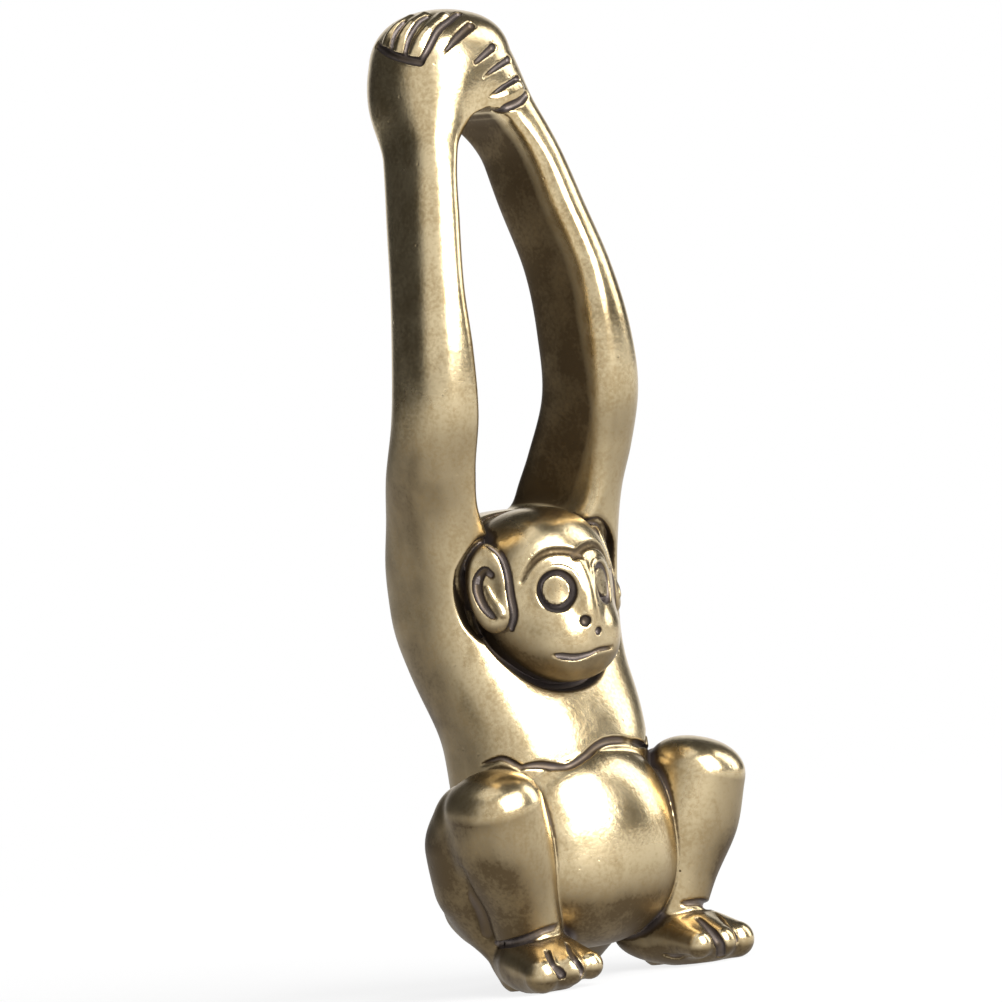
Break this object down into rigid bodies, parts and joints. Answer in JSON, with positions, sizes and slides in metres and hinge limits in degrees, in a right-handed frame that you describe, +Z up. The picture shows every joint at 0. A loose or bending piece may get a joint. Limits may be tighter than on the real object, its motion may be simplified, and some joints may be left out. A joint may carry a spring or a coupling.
{
  "type": "monkey figurine",
  "caption": "Small cast brass monkey ornament sitting with raised knees and both arms stretched up into a closed loop with clasped hands.",
  "frame": {"origin": "middle of the flat under the rump, on the surface the figurine stands on", "axes": "+X to the monkey's left, +Y to its back, +Z up through the raised arms"},
  "size_m": [0.0214, 0.0166, 0.0611],
  "materials": {
    "antique_brass": "worn polished brass with dark patina in the creases"
  },
  "bodies": {
    "root": {"torso": "antique_brass", "belly": "antique_brass", "head": "antique_brass", "eye_left": "antique_brass", "eye_right": "antique_brass", "ear_left": "antique_brass", "ear_right": "antique_brass", "upper_arm_left": "antique_brass", "upper_arm_right": "antique_brass", "forearm_left": "antique_brass", "forearm_right": "antique_brass", "hand_left": "antique_brass", "hand_right": "antique_brass", "thigh_left": "antique_brass", "thigh_right": "antique_brass", "shin_left": "antique_brass", "shin_right": "antique_brass", "foot_left": "antique_brass", "foot_right": "antique_brass"}
  },
  "joints": []
}
